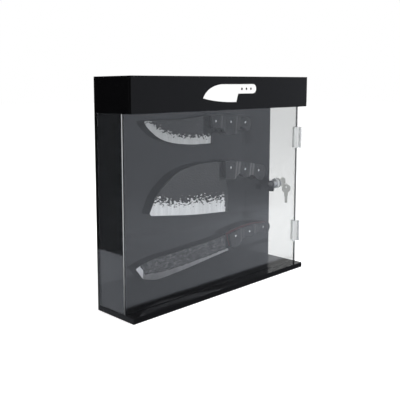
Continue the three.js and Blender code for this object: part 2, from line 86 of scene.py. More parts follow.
def colour(name, description, value):
    return bpy.props.FloatVectorProperty(name=name, description=description, default=value, size=3,
                                         min=0.0, max=1.0, subtype="COLOR")


def share(name, description, value, high=1.0):
    return bpy.props.FloatProperty(name=name, description=description, default=value, min=0.0, max=high)


def angle(name, description, degrees):
    return bpy.props.FloatProperty(name=name, description=description, default=math.radians(degrees),
                                   subtype="ANGLE")


class KnifeCaseSheets(bpy.types.PropertyGroup):
    arris: length("Arris", "Width of the broken edge on each sheet", 0.3, 0, 2)
    glue_line: length("Glue line", "Joint between two glued sheets", 0.05, 0, 0.5)
    black: colour("Black sheet", "Colour of the black sheets", (0.0035, 0.0035, 0.004))
    black_ior: share("Black sheet gloss", "Refractive index of the black sheet's face", 1.26, 2.0)
    panel_ior: share("Back panel gloss", "Refractive index of the back panel's face", 1.46, 2.0)
    clear: colour("Front sheet", "Tint of the clear sheet at the front", (0.88, 0.885, 0.885))
    door: colour("End sheets", "Tint of the door's and the left end's sheets", (0.69, 0.695, 0.69))
    sawn: colour("Sawn ends", "Pale ends of the clear sheets", (0.8, 0.81, 0.82))
    end_roughness: share("End roughness", "Roughness of the sawn ends", 0.3)
    end_haze: share("End haze", "Share of the light that the sawn ends scatter", 0.7)
    end_gloss: share("End gloss", "Specular level of the ends that carry light", 0.15)
    # Lit ends: painted light along the far side of a clear sheet's sawn end, over painted black shade
    lit: colour("Lit end", "Colour of the lit part of the front sheet's end", (0.97, 0.98, 0.99))
    lit_part: share("Lit part", "Part of the front sheet's end that is lit, from inside", 0.5)
    door_lit_part: share("Door lit part", "Part of the door's end that is lit, from outside", 0.55)
    lit_low: share("Lit low", "Light left at the foot of the front sheet's end", 0.1)
    lit_fade: length("Lit fade", "Height over which the light in the front sheet's end fades in", 130)
    lit_blur: length("Lit blur", "Width over which a lit end turns dark, to each side", 0.15, 0, 2)
    clear_ior: share("Clear sheet index", "Refractive index of the clear sheets", 1.49, 2.0)
    hinge: colour("Hinge", "Tint of the clear hinges", (0.94, 0.95, 0.95))
    pin: colour("Hinge pin", "Colour of the hinge pins", (0.62, 0.62, 0.63))
    leaf_edge: length("Leaf edge", "Broken edge on the hinge leaves", 0.25, 0, 1)
    pin_edge: length("Pin edge", "Broken edge on the hinge pins", 0.3, 0, 1)
    figure: colour("Figure", "Colour of the knife figure on the header", (0.88, 0.88, 0.87))
    figure_edge: length("Figure edge", "Broken edge on the knife figure", 0.1, 0, 1)
    magnet: colour("Magnet bar", "Colour of the magnet bars' coat", (0.02, 0.02, 0.021))
    magnet_edge: length("Magnet edge", "Rounding of the magnet bars", 0.8, 0, 3)


class KnifeCaseKnives(bpy.types.PropertyGroup):
    grid: length("Grid", "Spacing of the cuts that shape each blade", 2.5, 1, 10)
    edge_thickness: length("Edge", "Thickness of the blade at its cutting edge", 0.4, 0.1, 2)
    hammer_depth: length("Hammer marks", "Depth of the hammer marks on the flats", 0.5, 0, 2)
    scale_round: length("Scale rounding", "Rounding of the handle scales' outer edges", 2.6, 0.2, 5)
    flute_width: length("Flute width", "Width of the flutes between the rivets", 17, 4, 30)
    flute_depth: length("Flute depth", "Depth of the flutes across the handles", 1.1, 0, 3)
    rivet_dome: length("Rivet dome", "Rounding of the rivet heads", 0.6, 0, 1.5)
    rivet_rim: length("Rivet rim", "Flat rim of a rivet head round its dimple", 0.5, 0, 1)
    rivet_slope: length("Rivet slope", "Width of the slope into a rivet's dimple", 0.25, 0, 1)
    rivet_dimple: length("Rivet dimple", "Depth of the dimple in a rivet head", 0.2, 0, 1)
    liner_edge: length("Liner edge", "Broken edge on the liners", 0.1, 0, 1)
    # The darker heel is painted shade on a blade's flats before its handle
    heel_drop: length("Heel drop", "How far below the spine a blade's darker heel reaches", 38, 1, 120)
    heel: colour("Heel", "Colour of the darker heel of a blade", (0.001, 0.001, 0.001))
    blade_gloss: share("Blade gloss", "Specular level of the blades' forge scale and bevels", 0.2)
    # The tip's brightness is a painted highlight on the clipped point
    tip: share("Tip", "Brightness of the bottom knife's clipped point over its bevel", 4.2, 6.0)
    handle: colour("Handle", "Colour of the handle scales", (0.012, 0.012, 0.013))
    # The flute colour is a painted sheen on the flanks of the flutes
    flute: colour("Flute", "Colour of the polished flanks of the flutes", (0.13, 0.13, 0.135))
    liner: colour("Liner", "Colour of the bottom knife's liners", (0.42, 0.03, 0.045))
    rivet: colour("Rivet", "Colour of the rivets", (0.9, 0.89, 0.87))


# What differs from knife to knife, with the values of the top, the middle and the bottom knife
BY_KNIFE = (
    (colour, "flat", "Forge scale on the {} knife's flats",
     ((0.05, 0.05, 0.053), (0.046, 0.046, 0.049), (0.068, 0.068, 0.073))),
    # The bevels' colours differ from knife to knife partly as painted reflection, lighter where a bevel
    # catches more light
    (colour, "ground", "Ground bevel of the {} knife",
     ((0.7, 0.7, 0.7), (0.96, 0.96, 0.97), (0.2, 0.2, 0.21))),
    # Heel: painted shade on the flats before the handle
    (length, "heel", "Darker length of the {} knife's flats before its handle", (25, 14, 9), 1, 60),
    # A painted highlight on the bevel that grows towards the handle
    (share, "rise", "Brightness of the {} knife's bevel at the handle over its tip", (1.0, 1.0, 2.7), 4.0),
    (share, "texture", "Strength of the mottling on the {} knife's flats", (0.3, 0.12, 0.65)),
    (share, "ragged", "Reach in mm of the {} knife's ragged forge scale", (42.0, 76.0, 9.0), 100.0),
    (share, "rim", "Width in mm of the burnt rim along the {} knife's bevel", (6.0, 10.0, 2.0), 20.0),
    (share, "marks", "Fineness of the chips and marks on the {} knife", (300.0, 310.0, 230.0), 600.0),
    # Strength of the painted sheen on each knife's flutes
    (share, "polish", "How far the {} knife's flutes are polished", (0.28, 1.0, 0.3)),
)
for kind, key, description, values, *limits in BY_KNIFE:
    for knife, value in zip(KNIVES, values):
        KnifeCaseKnives.__annotations__[f"{knife}_{key}"] = kind(
            f"{knife} {key}".capitalize(), description.format(knife), value, *limits)


class KnifeCaseLock(bpy.types.PropertyGroup):
    thread_pitch: length("Thread pitch", "Pitch of the thread on the barrel", 1.0, 0.4, 3)
    thread_depth: length("Thread depth", "Depth of the thread on the barrel", 0.45, 0.1, 1)
    rounding: length("Rounding", "Broken edge on the lock's parts and the keys", 0.25, 0, 1)
    washer_edge: length("Washer edge", "Broken edge on the washer", 0.1, 0, 1)
    plug_edge: length("Plug edge", "Broken edge on the plug", 0.08, 0, 1)
    wafer_edge: length("Wafer edge", "Broken edge on the wafers", 0.06, 0, 1)
    wire: length("Ring wire", "Thickness of each turn of the key ring", 0.6, 0.2, 2)
    coil_pitch: length("Coil pitch", "Spacing of the two turns of the key ring", 0.62, 0.3, 2)
    chrome: colour("Plate", "Colour of the lock's plating", (0.86, 0.86, 0.87))
    key: colour("Key", "Colour of the keys and their ring", (0.74, 0.73, 0.68))
    barrel: colour("Barrel", "Colour of the threaded barrel", (0.85, 0.85, 0.86))
    brass: colour("Wafer", "Colour of the wafers", (0.7, 0.5, 0.22))
    zinc: colour("Cam", "Colour of the cam", (0.12, 0.12, 0.125))


class KnifeCaseStage(bpy.types.PropertyGroup):
    camera_place: bpy.props.FloatVectorProperty(
        name="Camera", description="Place of the camera", default=(-0.8509, -0.7734, 0.3814),
        size=3, subtype="TRANSLATION", unit="LENGTH")
    camera_heading: angle("Heading", "Direction of the view, from +Y towards +X", 42.492)
    camera_drop: angle("Drop", "View below the horizon", 7.214)
    camera_roll: angle("Roll", "Turn of the camera about its view", -0.454)
    focal_pixels: bpy.props.FloatProperty(
        name="Focal length", description="Focal length in image pixels", default=613.0, min=50)
    centre_pixel: bpy.props.FloatVectorProperty(
        name="Centre pixel", description="Pixel on the camera's axis", default=(155.0, 165.0), size=2)
    surround: share("Surround", "Light of the surround on the object", 0.62, 4)
    front_card: share("Front card", "Light of the grey cards in front", 0.57, 4)
    floor: colour("Floor", "Colour of the floor", (0.93, 0.93, 0.93))
    floor_glow: share("Floor glow", "Light that the eye sees from the floor itself", 0.55)


# Mesh helpers


def everything(bm):
    return bm.verts[:] + bm.edges[:] + bm.faces[:]


def copied(node):
    """A merged copy of a node's mesh, with its flat faces whole."""
    bm = bmesh.new()
    bm.from_mesh(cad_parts[node].data)
    bmesh.ops.remove_doubles(bm, verts=bm.verts[:], dist=MERGE)
    bmesh.ops.dissolve_limit(bm, angle_limit=FLAT, verts=bm.verts[:], edges=bm.edges[:])
    return bm


def sharp_edges(bm):
    return [e for e in bm.edges if len(e.link_faces) == 2 and e.calc_face_angle(0) > SHARP]


def cut_across(bm, place, normal, **more):
    return bmesh.ops.bisect_plane(bm, geom=everything(bm), plane_co=place, plane_no=normal, **more)


def round_edges(bm, edges, width, segments=2):
    bmesh.ops.bevel(bm, geom=edges, offset=width, offset_type="OFFSET", segments=segments, profile=0.5,
                    affect="EDGES", clamp_overlap=True, material=-1)


def drawn_in(bm, inset):
    """Moves every side of the shape in by the same small inset."""
    low = Vector([min(v.co[i] for v in bm.verts) for i in range(3)])
    high = Vector([max(v.co[i] for v in bm.verts) for i in range(3)])
    factors = [1 - 2 * inset / side for side in high - low]
    bmesh.ops.scale(bm, vec=factors, space=Matrix.Translation(-(low + high) / 2), verts=bm.verts[:])


def in_scene(name, data):
    thing = bpy.data.objects.new(name, data)
    bpy.context.scene.collection.objects.link(thing)
    return thing


def shape_in_scene(name, bm, materials):
    """An object with the bmesh's shape, which is used up."""
    mesh = bpy.data.meshes.new(name)
    bm.to_mesh(mesh)
    bm.free()
    for material in materials:
        mesh.materials.append(material)
    return in_scene(name, mesh)


def finished(name, bm, material, body, nodes=(), crease=0):
    """Turns a bmesh into a piece of the object that rides on a body.

    It is shaded smooth except at edges sharper than the crease, in degrees; 0 leaves it flat.
    """
    piece = shape_in_scene(name, bm, material if isinstance(material, tuple) else (material,))
    if crease:
        piece.data.shade_smooth()
        piece.data.set_sharp_from_angle(angle=math.radians(crease))
    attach(piece, body)
    if nodes:
        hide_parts(*nodes)
    return piece


def softened(node, material, body, width, inset=0.0, segments=2, ends=()):
    """A node's own shape with its sharp edges broken; ends that face given ways get their own finish."""
    bm = copied(node)
    if inset:
        drawn_in(bm, inset)
    round_edges(bm, sharp_edges(bm), width, segments)
    bm.normal_update()
    for way, index in ends:
        for face in bm.faces:
            if face.normal.dot(Vector(way)) > SAME_WAY:
                face.material_index = index
    return finished(f"{node}_finished", bm, material, body, [node])


def lathed(profile, axis, steps=64):
    """A full turn of [x, radius] points about a line along X, which runs through the point axis."""
    bm = bmesh.new()
    _, y, z = axis
    verts = [bm.verts.new((x, y, z + radius)) for x, radius in profile]
    edges = [bm.edges.new(pair) for pair in zip(verts, verts[1:])]
    bmesh.ops.spin(bm, geom=verts + edges, cent=(0, y, z), axis=(1, 0, 0), angle=2 * math.pi,
                   steps=steps, use_merge=True, use_duplicate=False)
    bmesh.ops.remove_doubles(bm, verts=bm.verts[:], dist=MERGE / 2)
    bmesh.ops.recalc_face_normals(bm, faces=bm.faces[:])
    return bm


def centre_of(node):
    low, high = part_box(node)
    return (low + high) / 2


# Shader helpers


def fill(tree, node, inputs):
    """Gives each named input of a node a value, or a link where another node's socket stands."""
    for key, value in inputs.items():
        if isinstance(value, bpy.types.NodeSocket):
            tree.links.new(value, node.inputs[key])
        else:
            node.inputs[key].default_value = value
    return node


def add_node(tree, kind, inputs=None, **settings):
    node = tree.nodes.new(f"ShaderNode{kind}")
    for key, value in settings.items():
        setattr(node, key, value)
    return fill(tree, node, inputs or {})


def maths(tree, operation, first, second, clamp=False):
    return add_node(tree, "Math", {0: first, 1: second}, operation=operation, use_clamp=clamp).outputs[0]


def times(tree, first, second):
    return maths(tree, "MULTIPLY", first, second)


def ranged(tree, value, from_low, from_high, to_low=0.0, to_high=1.0, curve="LINEAR"):
    inputs = {"Value": value, "From Min": from_low, "From Max": from_high, "To Min": to_low,
              "To Max": to_high}
    return add_node(tree, "MapRange", inputs, interpolation_type=curve).outputs["Result"]


def mixed(tree, factor, first, second, kind="RGBA", blend="MIX"):
    inputs = {"Factor": factor, "A": first, "B": second}
    return add_node(tree, "Mix", inputs, data_type=kind, blend_type=blend).outputs["Result"]


def noise(tree, place, scale, detail=2, roughness=0.5):
    inputs = {"Vector": place, "Scale": scale, "Detail": detail, "Roughness": roughness}
    return add_node(tree, "TexNoise", inputs).outputs["Fac"]


def object_place(tree, scale=None):
    """Object coordinates, each axis times its scale where one is given."""
    place = add_node(tree, "TexCoord").outputs["Object"]
    if scale is None:
        return place
    return add_node(tree, "Mapping", {"Vector": place, "Scale": scale}).outputs["Vector"]


def axes_of(tree, place):
    return add_node(tree, "SeparateXYZ", {"Vector": place}).outputs


def show(tree, factor, first, second):
    """Mixes two shaders and sends them to the material's output."""
    mix = add_node(tree, "MixShader", {"Fac": factor, 1: first, 2: second})
    fill(tree, tree.nodes["Material Output"], {"Surface": mix.outputs["Shader"]})


def group_tree(name, inputs, outputs):
    """A node group; an input whose default is a tuple is a colour and any other is a number."""
    tree = bpy.data.node_groups.new(name, "ShaderNodeTree")
    for label, value in inputs.items():
        kind = "Color" if isinstance(value, tuple) else "Float"
        socket = tree.interface.new_socket(name=label, in_out="INPUT", socket_type=f"NodeSocket{kind}")
        socket.default_value = value
    for label, kind in outputs.items():
        tree.interface.new_socket(name=label, in_out="OUTPUT", socket_type=f"NodeSocket{kind}")
    return tree, tree.nodes.new("NodeGroupInput").outputs, tree.nodes.new("NodeGroupOutput")


def through_group(tree, build, inputs):
    """Feeds the principled shader from a shared group, by the names of the group's outputs."""
    node = add_node(tree, "Group")
    node.node_tree = bpy.data.node_groups.get(build.__name__) or build()
    fill(tree, node, inputs)
    fill(tree, tree.nodes["Principled BSDF"], {output.name: output for output in node.outputs})


# Materials

GREY = (0.5, 0.5, 0.5, 1)
WHITE = (1, 1, 1, 1)
THROUGH_TINT = (0.93, 0.94, 0.94, 1)


def handling_marks():
    """Fine scratches and faint smears that change a surface's colour, roughness and normal."""
    tree, given, made = group_tree(
        "handling_marks",
        {"Colour": GREY, "Mark colour": GREY, "Roughness": 0.2, "Smear": 0.1, "Scale": 60.0,
         "Depth": 0.02},
        {"Base Color": "Color", "Roughness": "Float", "Normal": "Vector"})
    scratch_stretch, scratch_fineness, scratch_depth = (1, 1, 6), 14, 0.2 * MM
    smear_from, smear_to = 0.45, 0.75
    smears = noise(tree, object_place(tree), given["Scale"], detail=5)
    fine = times(tree, given["Scale"], scratch_fineness)
    scratches = noise(tree, object_place(tree, scratch_stretch), fine, detail=8, roughness=0.7)
    mask = times(tree, ranged(tree, smears, smear_from, smear_to), given["Smear"])
    bump = add_node(tree, "Bump", {"Strength": given["Depth"], "Distance": scratch_depth,
                                   "Height": scratches})
    fill(tree, made, {"Base Color": mixed(tree, mask, given["Colour"], given["Mark colour"]),
                      "Roughness": maths(tree, "ADD", given["Roughness"], mask, clamp=True),
                      "Normal": bump.outputs["Normal"]})
    return tree


def new_material(name, base, roughness, inputs=None):
    """A material and its principled shader, with any other inputs of the shader by name."""
    material = bpy.data.materials.new(name)
    material.use_nodes = True
    tree = material.node_tree
    values = {"Base Color": (*base, 1), "Roughness": roughness} | (inputs or {})
    return material, fill(tree, tree.nodes["Principled BSDF"], values)


def handled(name, base, roughness, tone, smear, scale, depth, inputs=None):
    """A material with handling marks, whose colour is the base times the tone.

    The smear is their strength, the scale their fineness and the depth that of the scratches.
    """
    material, shader = new_material(name, base, roughness, inputs)
    marks = [min(1, c * tone) for c in base]
    through_group(material.node_tree, handling_marks, {
        "Colour": (*base, 1), "Mark colour": (*marks, 1), "Roughness": roughness, "Smear": smear,
        "Scale": scale, "Depth": depth})
    return material, shader


def black_sheet(name, sizes, index, roughness=0.06):
    return handled(name, sizes.black, roughness, tone=2.2, smear=0.04, scale=18, depth=0.01,
                   inputs={"IOR": index})[0]


def clear_sheet(name, sizes, tint, roughness=0.0, haze=0.0):
    """Clear sheet that bends light for the eye and lets lamps and soft light straight through."""
    material, shader = handled(name, tint, roughness, tone=0.97, smear=0.015, scale=25, depth=0.004,
                               inputs={"IOR": sizes.clear_ior, "Transmission Weight": 1.0 - haze})
    tree = material.node_tree
    path = add_node(tree, "LightPath").outputs
    soft = maths(tree, "MAXIMUM", path["Is Shadow Ray"], path["Is Diffuse Ray"])
    through = add_node(tree, "BsdfTransparent", {"Color": THROUGH_TINT})
    show(tree, soft, shader.outputs["BSDF"], through.outputs["BSDF"])
    return material


def lit_end(name, tint, node, axis, part, foot, sizes):
    """A sawn end, painted black as shade but for painted light along its far side, which fades towards its
    foot.
    """
    material = clear_sheet(name, sizes, tint, sizes.end_roughness, sizes.end_haze)
    low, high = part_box(node)
    tree = material.node_tree
    shader = tree.nodes["Principled BSDF"]
    plain = shader.inputs["Base Color"].links[0].from_socket
    place = axes_of(tree, object_place(tree))
    number = "XYZ".index(axis)
    border = high[number] - part * (high[number] - low[number])
    across = ranged(tree, place[axis], border - sizes.lit_blur, border + sizes.lit_blur)
    upwards = ranged(tree, place["Z"], low.z, low.z + sizes.lit_fade, foot)
    lit = times(tree, across, upwards)
    # Painted light: the lit colour across the far side, fading in upwards, over black painted shade
    fill(tree, shader, {"Base Color": mixed(tree, lit, (*sizes.black, 1), plain),
                        "Specular IOR Level": sizes.end_gloss})
    return material


def metal(name, base, roughness, smear=0.12, scale=120.0, depth=0.05, metallic=1.0):
    return handled(name, base, roughness, tone=0.75, smear=smear, scale=scale, depth=depth,
                   inputs={"Metallic": metallic})[0]


# Pieces


class KNIFECASE_OT_sheets(bpy.types.Operator):
    """Finish the black and clear sheets of the base, header, panels and door"""

    bl_idname = "knifecase.sheets"
    bl_label = "Sheets"

    def execute(self, context):
        sizes = context.scene.knife_case_sheets
        black = black_sheet("black_sheet", sizes, sizes.black_ior)
        back = black_sheet("back_panel_sheet", sizes, sizes.panel_ior, roughness=0.03)
        for node in BLACK_SHEETS:
            material = back if node == "back_panel" else black
            softened(node, material, "case", sizes.arris, 0.2 * sizes.glue_line)
        clear = clear_sheet("clear_sheet", sizes, sizes.clear)
        door = clear_sheet("door_sheet", sizes, sizes.door)
        sawn = clear_sheet("sawn_end", sizes, sizes.sawn, sizes.end_roughness, sizes.end_haze)
        front_end = lit_end("front_end", sizes.lit, "front_panel", "Y", sizes.lit_part, sizes.lit_low,
                            sizes)
        door_end = lit_end("door_end", sizes.sawn, "side_door", "X", sizes.door_lit_part, 1.0, sizes)
        cemented, shader = handled("cemented_end", sizes.black, 1.0, tone=1.5, smear=0.2, scale=60,
                                   depth=0.01)
        shader.inputs["Specular IOR Level"].default_value = 0.0
        for node, finish, end, body, ends in (("front_panel", clear, front_end, "case", FRONT_ENDS),
                                              ("left_panel", door, sawn, "case", LEFT_ENDS),
                                              ("side_door", door, door_end, "door", DOOR_ENDS)):
            softened(node, (finish, end, cemented), body, sizes.arris, sizes.glue_line,
                     ends=ends)
        return {"FINISHED"}


class KNIFECASE_OT_header_figure(bpy.types.Operator):
    """Finish the plain white knife figure on the header"""

    bl_idname = "knifecase.header_figure"
    bl_label = "Header figure"

    def execute(self, context):
        sizes = context.scene.knife_case_sheets
        white = handled("white_figure", sizes.figure, 0.35, tone=0.9, smear=0.1, scale=90, depth=0.02)[0]
        softened("header_figure", white, "case", sizes.figure_edge)
        return {"FINISHED"}


class KNIFECASE_OT_hinges(bpy.types.Operator):
    """Finish the two clear corner hinges and their steel pins"""

    bl_idname = "knifecase.hinges"
    bl_label = "Hinges"

    def execute(self, context):
        sizes = context.scene.knife_case_sheets
        clear = clear_sheet("clear_hinge", sizes, sizes.hinge, roughness=0.12, haze=0.3)
        steel = metal("hinge_pin_steel", sizes.pin, 0.25)
        for place in ("upper", "lower"):
            for body in ("case", "door"):
                softened(f"{place}_hinge_{body}_leaf", clear, body, sizes.leaf_edge,
                         sizes.glue_line)
            softened(f"{place}_hinge_pin", steel, "case", sizes.pin_edge)
        return {"FINISHED"}


class KNIFECASE_OT_lock(bpy.types.Operator):
    """Model the cam lock: threaded housing, washer, nut, plug, wafers, cam and screw"""

    bl_idname = "knifecase.lock"
    bl_label = "Cam lock"

    def execute(self, context):
        sizes = context.scene.knife_case_lock
        plate = metal("lock_plate", sizes.chrome, 0.12, metallic=0.8)
        threaded = metal("barrel_plate", sizes.barrel, 0.22, metallic=0.8)
        satin = metal("nut_plate", sizes.chrome, 0.3, metallic=0.35)
        zinc = metal("cam_zinc", sizes.zinc, 0.35)
        brass = metal("wafer_brass", sizes.brass, 0.3)
        low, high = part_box("lock_housing")
        plug_low, plug_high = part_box("lock_plug")
        axis = centre_of("lock_plug")
        gap, head_step = 0.3 * MM, 1.2 * MM
        bezel_radius = (high.z - low.z) / 2
        head_radius = (plug_high.z - plug_low.z) / 2 + gap
        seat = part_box("side_door")[1].x + gap

        # The bezel's section: depths behind its face, with radii from the plug's head or the bezel
        recess, lip = 1.8, -0.9
        section = ((recess, head_radius, 0), (0.3, head_radius, 0), (0, head_radius, 0.3),
                   (0, head_radius, 1.4), (0.35, head_radius, 1.6), (0.45, bezel_radius, -1.2),
                   (1.1, bezel_radius, -0.35), (2.0, bezel_radius, 0))
        bezel = [(high.x - depth * MM, radius + more * MM) for depth, radius, more in section]
        bezel += [(seat, bezel_radius), (seat, head_radius + lip * MM),
                  (high.x - recess * MM, head_radius + lip * MM), (high.x - recess * MM, head_radius)]
        finished("lock_bezel", lathed(bezel, axis), plate, "door", crease=25)

        barrel = self.threaded_barrel(axis, low.x, seat, head_radius - head_step, sizes)
        finished("lock_barrel", barrel, threaded, "door", ["lock_housing"], crease=25)
        softened("lock_washer", satin, "door", sizes.washer_edge)
        softened("lock_nut", satin, "door", sizes.rounding)
        softened("lock_plug", plate, "lock_core", sizes.plug_edge)
        softened("cam_screw", plate, "lock_core", sizes.rounding)
        softened("lock_cam", zinc, "lock_core", sizes.rounding)
        for number in WAFERS:
            softened(f"lock_wafer_{number}", brass, "lock_core", sizes.wafer_edge)
        return {"FINISHED"}

    def threaded_barrel(self, axis, start, seat, bore, sizes):
        """The threaded barrel from its inner end to its seat, with a flat above and below."""
        wall, flat_above = 1.9 * MM, 1.0 * MM
        outer = bore + wall
        root = outer - sizes.thread_depth
        turn_section = ((0.35, root), (0.6, outer), (0.75, outer))
        profile = [(start, bore), (start, root)]
        for turn in range(int((seat - start) / sizes.thread_pitch)):
            for part, radius in turn_section:
                profile.append((start + (turn + part) * sizes.thread_pitch, radius))
        profile += [(seat, outer), (seat, bore), (start, bore)]
        thread = lathed(profile, axis, steps=48)
        for side in (1, -1):
            flat = (0, 0, axis.z + side * (bore + flat_above))
            cut = cut_across(thread, flat, (0, 0, side), clear_outer=True)
            rim = [g for g in cut["geom_cut"] if isinstance(g, bmesh.types.BMEdge)]
            bmesh.ops.holes_fill(thread, edges=rim, sides=0)
        return thread


class KNIFECASE_OT_keys(bpy.types.Operator):
    """Model the key in the lock, its split ring and the spare key"""

    bl_idname = "knifecase.keys"
    bl_label = "Keys"

    def execute(self, context):
        sizes = context.scene.knife_case_lock
        nickel = metal("key_nickel", sizes.key, 0.3, smear=0.2, scale=150, depth=0.1, metallic=0.45)
        softened("lock_key", nickel, "key", sizes.rounding)
        softened("spare_key", nickel, "spare", sizes.rounding)

        low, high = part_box("key_ring")
        radius = (high.y - low.y) / 2 - sizes.wire
        bm = bmesh.new()
        bmesh.ops.create_circle(bm, cap_ends=True, segments=10, radius=sizes.wire / 2,
                                matrix=Matrix.Rotation(math.pi / 2, 4, "X"))
        bmesh.ops.translate(bm, vec=(radius, 0, -sizes.coil_pitch / 2), verts=bm.verts[:])
        turns, steps = 2, 96
        bmesh.ops.spin(bm, geom=everything(bm), cent=(0, 0, 0), axis=(0, 0, 1),
                       dvec=(0, 0, sizes.coil_pitch / steps), angle=turns * 2 * math.pi, steps=steps)
        bmesh.ops.recalc_face_normals(bm, faces=bm.faces[:])
        lean = math.pi / 2 - math.atan2(high.x - low.x, high.z - low.z)
        place = Matrix.Translation((low + high) / 2) @ Matrix.Rotation(lean, 4, "Y")
        bmesh.ops.transform(bm, matrix=place, verts=bm.verts[:])
        finished("split_ring", bm, nickel, "ring", ["key_ring"], crease=35)
        return {"FINISHED"}


# X of each blade's guard, where its handle starts, and height of its spine there, in millimetres
GUARDS = {"top": (34.0, 327.0), "middle": (70.2, 235.5), "bottom": (85.0, 84.6)}

# Ground bevels: each line is given as shares of the blade's length from the guard and of its depth
# below the spine, from the guard to the tip
GRIND_LINES = {
    "top": ((-0.05, 0.74), (0.08, 0.74), (0.43, 0.7), (0.53, 0.63), (0.63, 0.55), (0.72, 0.48),
            (0.8, 0.36), (0.87, 0.24), (0.95, 0.1), (1.02, 0.02)),
    "middle": ((-0.1, 0.75), (0.33, 0.685), (0.5, 0.67), (0.62, 0.66), (0.81, 0.61), (0.92, 0.55),
               (1.02, 0.5)),
    "bottom": ((-0.05, 0.55), (0.14, 0.62), (0.36, 0.69), (0.58, 0.76), (0.76, 0.765), (0.86, 0.72),
               (0.915, 0.7), (0.95, 0.457), (0.97, 0.3)),
}

# Share of the blade's length from the guard at which a clipped point begins, where a knife has one
CLIPPED_FROM = {"bottom": 0.93}

# Distance from the grind line, in millimetres, that stands for the tang
ON_TANG = -50


def blade_frame(knife):
    """The guard's X and the spine's Z of a knife, with the blade's length and depth."""
    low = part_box(f"{knife}_knife_blade")[0]
    guard, spine = (value * MM for value in GUARDS[knife])
    return guard, spine, guard - low.x, spine - low.z


def ground_distance(point, line):
    """Distance from a point to the grind line, positive on the side of the cutting edge."""
    best, sign = math.inf, 1
    for a, b in zip(line, line[1:]):
        along = b - a
        t = max(0, min(1, (point - a).dot(along) / along.length_squared))
        gap = point - (a + along * t)
        if gap.length < best:
            best = gap.length
            sign = 1 if along.x * (point.y - a.y) - along.y * (point.x - a.x) > 0 else -1
    return best * sign


def shaped_blade(knife, sizes):
    """The blade's outline cut into a fine grid, thinned from the grind line to the cutting edge.

    Each point keeps how far it lies below the grind line, and whether it is on a clipped point.
    """
    node = f"{knife}_knife_blade"
    guard, spine, blade_length, blade_depth = blade_frame(knife)
    line = [Vector((guard - u * blade_length, spine - w * blade_depth)) for u, w in GRIND_LINES[knife]]
    low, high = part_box(node)
    middle, half = (low.y + high.y) / 2, (high.y - low.y) / 2
    thin = sizes.edge_thickness / 2
    bm = copied(node)
    ground = bm.verts.layers.float.new("ground")
    point = bm.verts.layers.float.new("point")
    for normal, start, end in ((Vector((1, 0, 0)), low.x, guard), (Vector((0, 0, 1)), low.z, spine)):
        for step in range(1, int((end - start) / sizes.grid) + 1):
            cut_across(bm, normal * (start + step * sizes.grid), normal)
    bm.normal_update()
    heel = guard - 0.03 * blade_length
    tang = guard + 2 * MM
    rim = {v for f in bm.faces if abs(f.normal.y) < 0.5 for v in f.verts}
    gaps = {v: ground_distance(Vector((v.co.x, v.co.z)), line) for v in bm.verts}
    edge = [v for v in rim if gaps[v] > 0 and v.co.x < heel]
    tree = kdtree.KDTree(len(edge))
    for i, v in enumerate(edge):
        tree.insert((v.co.x, 0, v.co.z), i)
    tree.balance()
    clipped = guard - CLIPPED_FROM.get(knife, math.inf) * blade_length
    for v in bm.verts:
        in_blade = v.co.x < tang
        v[ground] = gaps[v] / MM if in_blade else ON_TANG
        v[point] = float(v.co.x < clipped)
        if in_blade and gaps[v] > 0:
            to_edge = tree.find((v.co.x, 0, v.co.z))[2]
            share_left = to_edge / (to_edge + gaps[v])
            v.co.y = middle + math.copysign(thin + (half - thin) * share_left, v.co.y - middle)
    return bm


